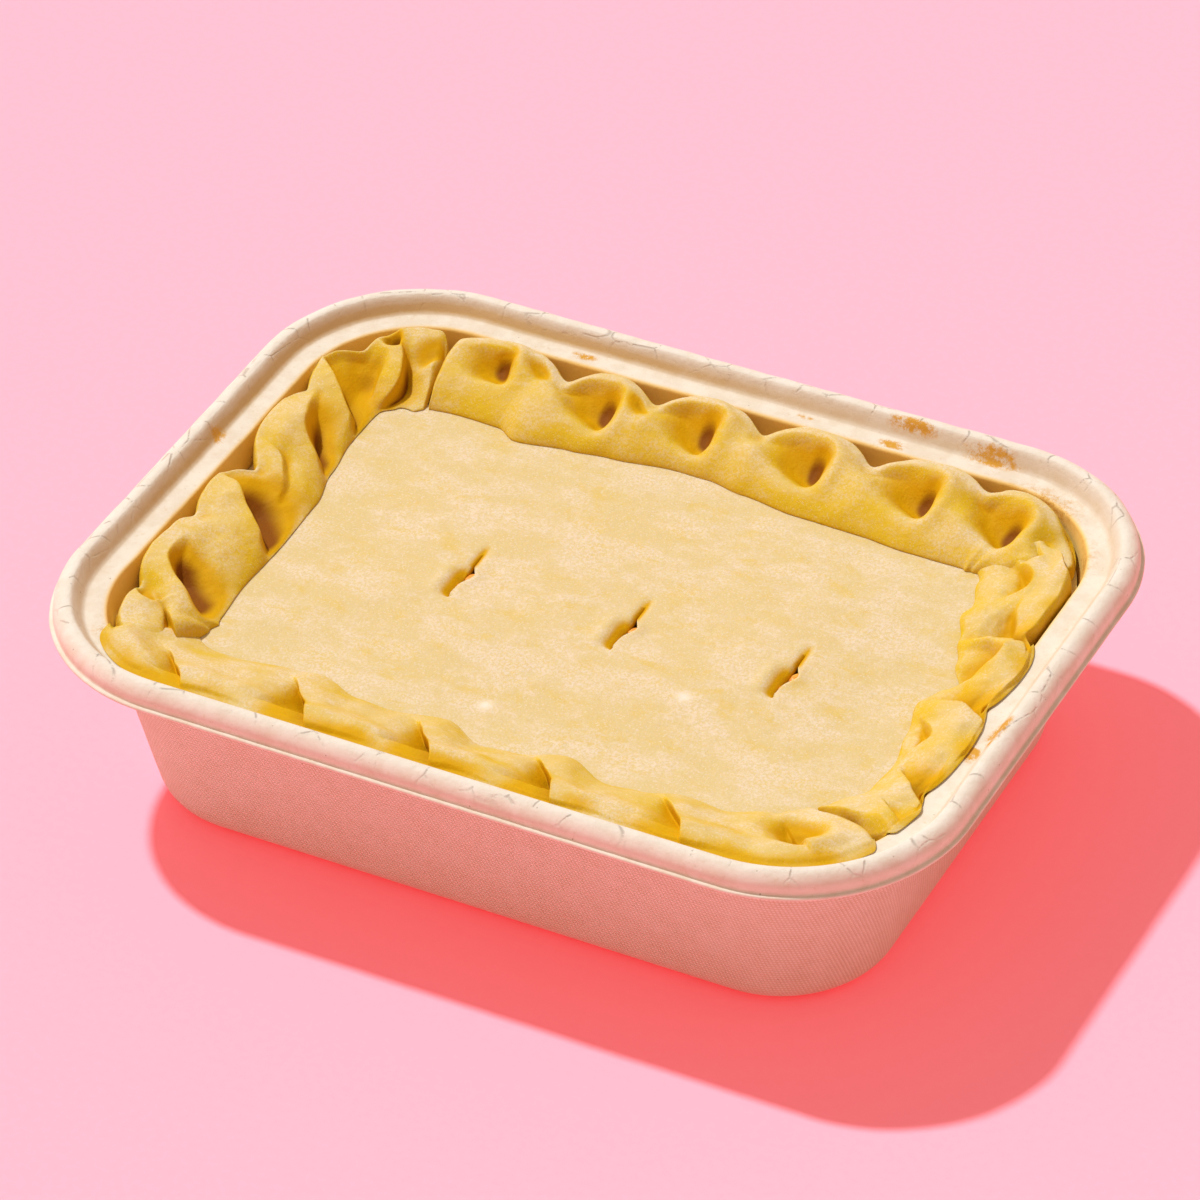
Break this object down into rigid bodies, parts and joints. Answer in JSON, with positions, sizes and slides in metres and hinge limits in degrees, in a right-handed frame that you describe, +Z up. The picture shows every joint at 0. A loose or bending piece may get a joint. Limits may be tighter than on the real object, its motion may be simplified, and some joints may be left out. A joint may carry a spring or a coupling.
{
  "type": "chicken pot pie in a moulded-fibre tray",
  "caption": "Family pot pie with a slit pastry lid and a thumb-crimped edge, filling a tapered rectangular moulded-fibre tray with a rolled rim.",
  "frame": {"origin": "centre of the bounding box on the surface the tray stands on", "axes": "+Z up, +X along the tray's long side, +Y across it towards the back"},
  "size_m": [0.23, 0.174, 0.0555],
  "materials": {
    "moulded_fibre": "matt unbleached moulded plant fibre with a woven mould imprint outside",
    "pastry": "raw butter pastry, matt and floury",
    "filling": "moist cooked filling in a golden sauce"
  },
  "bodies": {
    "root": {"tray": "moulded_fibre", "filling": "filling", "pastry_lid": "pastry", "crimp_front": "pastry", "crimp_right": "pastry", "crimp_back": "pastry", "crimp_left": "pastry"}
  },
  "joints": []
}
